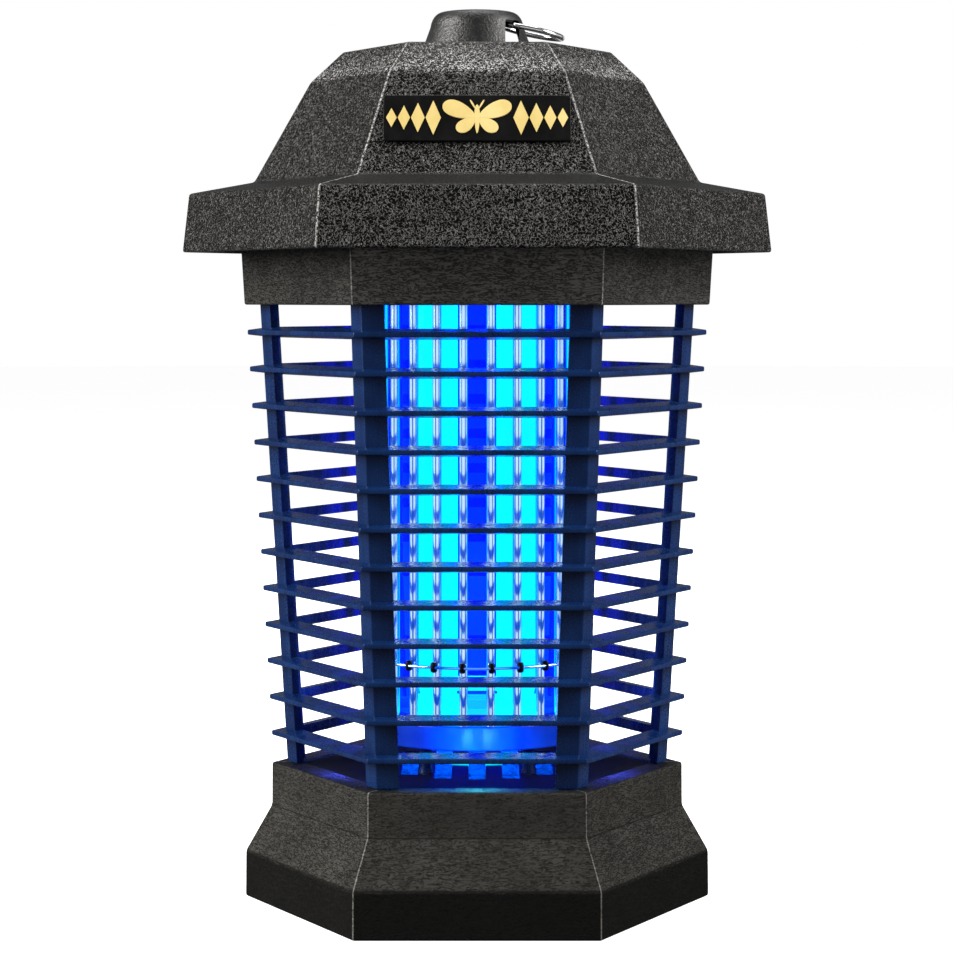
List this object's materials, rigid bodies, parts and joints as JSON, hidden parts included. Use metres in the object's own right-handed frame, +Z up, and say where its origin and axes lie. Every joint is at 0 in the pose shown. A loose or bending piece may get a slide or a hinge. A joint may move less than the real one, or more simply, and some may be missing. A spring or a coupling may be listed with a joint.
{
  "type": "electric bug zapper",
  "caption": "Hexagonal lantern bug zapper: louvred cage round an electric rod grid and ultraviolet lamp, flared base with catch tray, brimmed roof with knob and hanging ring.",
  "frame": {"origin": "centre of the underside, where the foot meets the surface it stands on", "axes": "+Z up the lamp's axis; -Y is the front, the flat with the name plate; +X is to the right seen from the front and passes through two corners of the hexagon; the hanging ring lies towards +X and the cord gland faces +Y"},
  "size_m": [0.2384, 0.2064, 0.3588],
  "materials": {
    "base_plastic": "fine moulded grain, dark warm grey",
    "roof_plastic": "coarse leather grain, near-black grey",
    "cage_plastic": "smooth navy-black moulding",
    "deck_plastic": "smooth black",
    "drum_plastic": "glossy blue",
    "cradle_plastic": "pale translucent blue",
    "lamp_glass": "glowing cyan lamp glass",
    "sleeve_plastic": "clear blue tube",
    "grid_steel": "drawn steel rod",
    "ring_steel": "bright plated wire",
    "screw_steel": "zinc plated",
    "white_plastic": "white flame-retardant moulding",
    "board": "green circuit board",
    "winding": "taped winding",
    "capacitor": "sleeved can",
    "plate_black": "satin black with raised gold decoration",
    "knob_plastic": "glossy black"
  },
  "bodies": {
    "housing": {"base_shell": "base_plastic", "deck_grille": "deck_plastic", "cage_post_1": "cage_plastic", "cage_post_2": "cage_plastic", "cage_post_3": "cage_plastic", "cage_post_4": "cage_plastic", "cage_post_5": "cage_plastic", "cage_post_6": "cage_plastic", "cage_louvre_1": "cage_plastic", "cage_louvre_2": "cage_plastic", "cage_louvre_3": "cage_plastic", "cage_louvre_4": "cage_plastic", "cage_louvre_5": "cage_plastic", "cage_louvre_6": "cage_plastic", "cage_louvre_7": "cage_plastic", "cage_louvre_8": "cage_plastic", "cage_louvre_9": "cage_plastic", "cage_louvre_10": "cage_plastic", "cage_louvre_11": "cage_plastic", "cage_louvre_12": "cage_plastic", "lower_grid_drum": "drum_plastic", "drum_standoff_1": "cage_plastic", "standoff_screw_1": "screw_steel", "drum_standoff_2": "cage_plastic", "standoff_screw_2": "screw_steel", "drum_standoff_3": "cage_plastic", "standoff_screw_3": "screw_steel", "drum_standoff_4": "cage_plastic", "standoff_screw_4": "screw_steel", "live_grid": "grid_steel", "return_grid": "grid_steel", "grid_spacer_ring": "grid_steel", "upper_grid_holder": "white_plastic", "uv_lamp": "lamp_glass", "lamp_cradle": "cradle_plastic", "lamp_sleeve": "sleeve_plastic", "lamp_cap": "white_plastic", "lamp_holder": "white_plastic", "circuit_board": "board", "hv_transformer": "winding", "smoothing_capacitor": "capacitor", "grid_capacitor": "capacitor", "collar": "base_plastic", "roof_shell": "roof_plastic", "roof_screw_1": "screw_steel", "roof_screw_2": "screw_steel", "roof_screw_3": "screw_steel", "roof_screw_4": "screw_steel", "roof_screw_5": "screw_steel", "roof_screw_6": "screw_steel", "name_plate": "plate_black", "cord_gland": "knob_plastic", "gland_nut": "knob_plastic", "top_knob": "knob_plastic", "knob_screw": "screw_steel"},
    "ring": {"hanging_ring": "ring_steel"},
    "tray": {"catch_tray": "deck_plastic"}
  },
  "joints": [
    {"name": "ring_swing", "type": "hinge", "parent": "housing", "child": "ring", "pos_m": [0.0151, 0, 0.3526], "axis": [0, -1, 0], "range_deg": [0, 102]},
    {"name": "tray_pull", "type": "slide", "parent": "housing", "child": "tray", "axis": [0, 0, -1], "range_m": [0, 0.045]}
  ]
}
